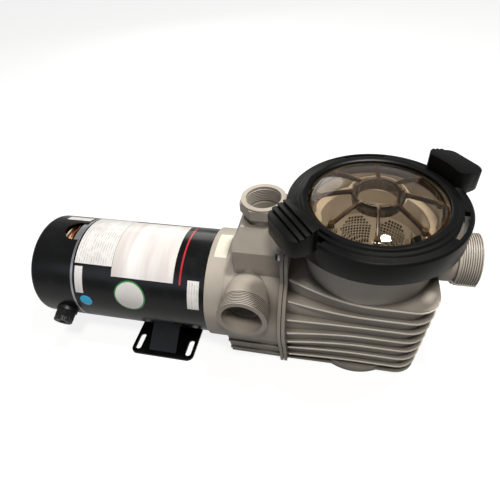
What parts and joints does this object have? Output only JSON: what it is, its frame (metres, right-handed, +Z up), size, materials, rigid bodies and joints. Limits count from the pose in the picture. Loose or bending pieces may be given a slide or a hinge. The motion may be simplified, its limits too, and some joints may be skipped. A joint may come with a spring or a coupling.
{
  "type": "pool pump",
  "caption": "Pool circulating pump with a ribbed strainer pot under a clear lid and lock ring, a volute with side and top ports, and a close coupled round electric motor on a slotted foot",
  "frame": {"origin": "On the floor under the vertical axis of the strainer pot, at the middle of the pot's round foot.", "axes": "+X points out of the suction port and the motor lies towards -X along the shaft, the side discharge port faces -Y, and +Z is up along the pot's axis."},
  "size_m": [0.553, 0.19, 0.256],
  "materials": {
    "wet_end_plastic": "moulded grey beige",
    "ring_plastic": "moulded black, satin gloss",
    "lens_plastic": "clear with a smoky tan tint",
    "basket_plastic": "moulded tan",
    "black_plastic": "moulded black",
    "fan_plastic": "natural",
    "switch_plastic": "moulded brown",
    "motor_paint": "gloss black",
    "cast_aluminium": "machined casting",
    "core_steel": "stacked laminations",
    "winding_copper": "varnished copper wire",
    "lug_copper": "bare copper",
    "shaft_steel": "ground stainless",
    "screw_steel": "zinc plated",
    "seal_rubber": "moulded black rubber",
    "seal_ceramic": "ground white ceramic"
  },
  "bodies": {
    "housing": {"strainer_pot": "wet_end_plastic", "volute_housing": "wet_end_plastic", "flange_gasket": "seal_rubber", "flange_screws": "screw_steel", "motor_bracket": "wet_end_plastic", "housing_o_ring": "seal_rubber", "bracket_screws": "screw_steel", "motor_bolts": "screw_steel", "diffuser": "black_plastic", "diffuser_o_ring": "seal_rubber", "seal_seat": "seal_ceramic", "strainer_basket": "basket_plastic", "lid_o_ring": "seal_rubber", "pot_drain_plug": "black_plastic", "pot_drain_o_ring": "seal_rubber", "volute_drain_plug": "black_plastic", "volute_drain_o_ring": "seal_rubber", "motor_shell": "motor_paint", "front_end_bell": "motor_paint", "rear_end_bell": "cast_aluminium", "rear_cover": "motor_paint", "stator_core": "core_steel", "stator_windings": "winding_copper", "front_outer_race": "screw_steel", "rear_outer_race": "screw_steel", "bearing_balls": "screw_steel", "through_bolts": "screw_steel", "cover_screws": "screw_steel", "capacitor": "black_plastic", "capacitor_strap": "cast_aluminium", "terminal_board": "black_plastic", "start_switch": "switch_plastic", "cord_gland": "black_plastic", "gland_nut": "black_plastic", "bonding_lug": "lug_copper", "lug_screw": "screw_steel", "foot_bracket": "motor_paint", "foot_screws": "screw_steel"},
    "rotor": {"shaft": "shaft_steel", "rotor_core": "core_steel", "impeller": "black_plastic", "seal_head": "seal_rubber", "seal_spring": "shaft_steel", "slinger": "seal_rubber", "cooling_fan": "fan_plastic", "front_inner_race": "screw_steel", "rear_inner_race": "screw_steel", "governor": "switch_plastic"},
    "lid": {"lid_lens": "lens_plastic"},
    "ring": {"lock_ring": "ring_plastic"}
  },
  "joints": [
    {"name": "rotor_spin", "type": "hinge", "parent": "housing", "child": "rotor", "pos_m": [-0.25, 0, 0.083], "axis": [1, 0, 0], "continuous": true},
    {"name": "lid_rise", "type": "slide", "parent": "housing", "child": "lid", "axis": [0, 0, 1], "range_m": [0, 0.002]},
    {"name": "ring_turn", "type": "hinge", "parent": "lid", "child": "ring", "pos_m": [0, 0, 0.23], "axis": [0, 0, 1], "range_deg": [0, 40]}
  ],
  "couplings": [
    {"joint": "lid_rise", "follows": "ring_turn", "m_per_rad": 0.002864}
  ]
}
